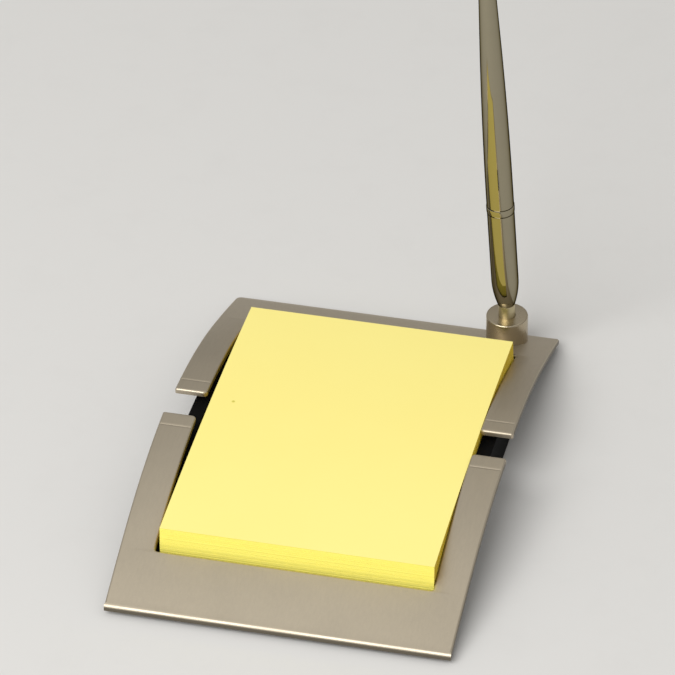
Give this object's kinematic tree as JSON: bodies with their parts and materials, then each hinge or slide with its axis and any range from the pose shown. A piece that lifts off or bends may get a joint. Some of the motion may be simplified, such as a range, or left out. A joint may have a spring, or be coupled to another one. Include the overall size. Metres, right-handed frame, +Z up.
{
  "type": "memo holder",
  "caption": "Desk memo holder: an arched frame of two forked satin metal plates round a block of loose yellow sheets, with a slim polished pen standing in a socket at the rear.",
  "frame": {"origin": "centre of the footprint of the two plates, on the underside of the base sheet, where the holder stands on the desk", "axes": "+Z up from the desk, +Y from the front edge to the rear edge where the pen stands, +X to the right"},
  "size_m": [0.0978, 0.1452, 0.14],
  "materials": {
    "front_plate_metal": "satin nickel",
    "rear_plate_metal": "satin nickel",
    "base_moulding": "matte black",
    "base_sheet": "matte black",
    "memo_paper": "pale yellow",
    "screw_steel": "plain",
    "socket_metal": "satin nickel",
    "collar_metal": "satin nickel",
    "pen_chrome": "mirror polished",
    "pen_point_metal": "plain"
  },
  "bodies": {
    "root": {"front_frame": "front_plate_metal", "rear_frame": "rear_plate_metal", "base_tray": "base_moulding", "base_mat": "base_sheet", "memo_pad": "memo_paper", "frame_screws": "screw_steel", "socket_base": "socket_metal", "socket_screw": "screw_steel", "socket_collar": "collar_metal", "pen_point": "pen_point_metal", "pen_lower_barrel": "pen_chrome", "pen_centre_ring": "pen_chrome", "pen_upper_barrel": "pen_chrome"}
  },
  "joints": []
}
